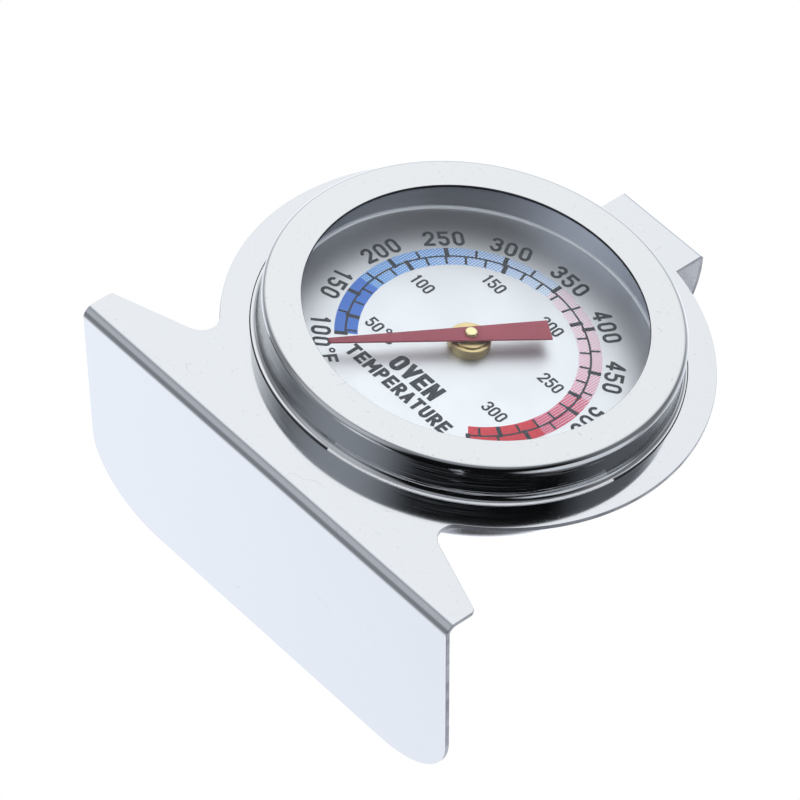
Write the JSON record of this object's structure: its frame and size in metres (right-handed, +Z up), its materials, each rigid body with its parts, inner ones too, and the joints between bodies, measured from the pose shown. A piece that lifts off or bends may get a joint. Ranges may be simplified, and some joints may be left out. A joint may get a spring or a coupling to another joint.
{
  "type": "oven thermometer",
  "caption": "Dial oven thermometer with a bimetal movement in a round steel case, on a bent sheet stand with a foot and a rack hook.",
  "frame": {"origin": "centre of the foot's flat underside", "axes": "+Z up from the table, the dial faces -Y and leans back, +X to the right of a person who reads the dial"},
  "size_m": [0.0724, 0.0462, 0.0781],
  "materials": {
    "polished_stainless": "mirror-polished stainless sheet with faint rolling lines and fine scuffs",
    "bezel_stainless": "mirror-polished stainless, rolled edge",
    "cup_steel": "drawn stainless, satin",
    "inner_wall": "plain rolled strip, seen dark through the glass",
    "glass": "clear tempered glass",
    "gasket": "dark heat-resistant packing ring",
    "dial": "white-silver printed aluminium",
    "brass": "turned brass, slightly toned",
    "pointer_red": "dark red enamel",
    "plain_steel": "plain stamped steel",
    "bimetal": "rolled bimetal strip"
  },
  "bodies": {
    "case": {"stand_plate": "polished_stainless", "bezel_ring": "bezel_stainless", "front_glass": "glass", "glass_gasket": "gasket", "movement_cup": "cup_steel", "support_sleeve": "plain_steel", "dial_retaining_ring": "inner_wall", "dial_support_ring": "plain_steel", "dial_plate": "dial", "bearing_bush": "brass", "bush_washer": "plain_steel", "bush_nut": "brass", "movement_bridge": "plain_steel", "bimetal_coil": "bimetal", "coil_anchor": "plain_steel", "coil_end_pin": "brass", "floor_rivets": "plain_steel", "rear_pivot_bush": "brass"},
    "pointer_arbor": {"arbor": "brass", "pointer_hub": "brass", "pointer": "pointer_red", "coil_collet": "brass"}
  },
  "joints": [
    {"name": "pointer_turn", "type": "hinge", "parent": "case", "child": "pointer_arbor", "pos_m": [0, -0.01359, 0.03924], "axis": [0, 0.9763, -0.2164], "range_deg": [-22, 294], "stiffness_Nm_per_rad": 0.002, "deforming": ["bimetal_coil"]}
  ]
}
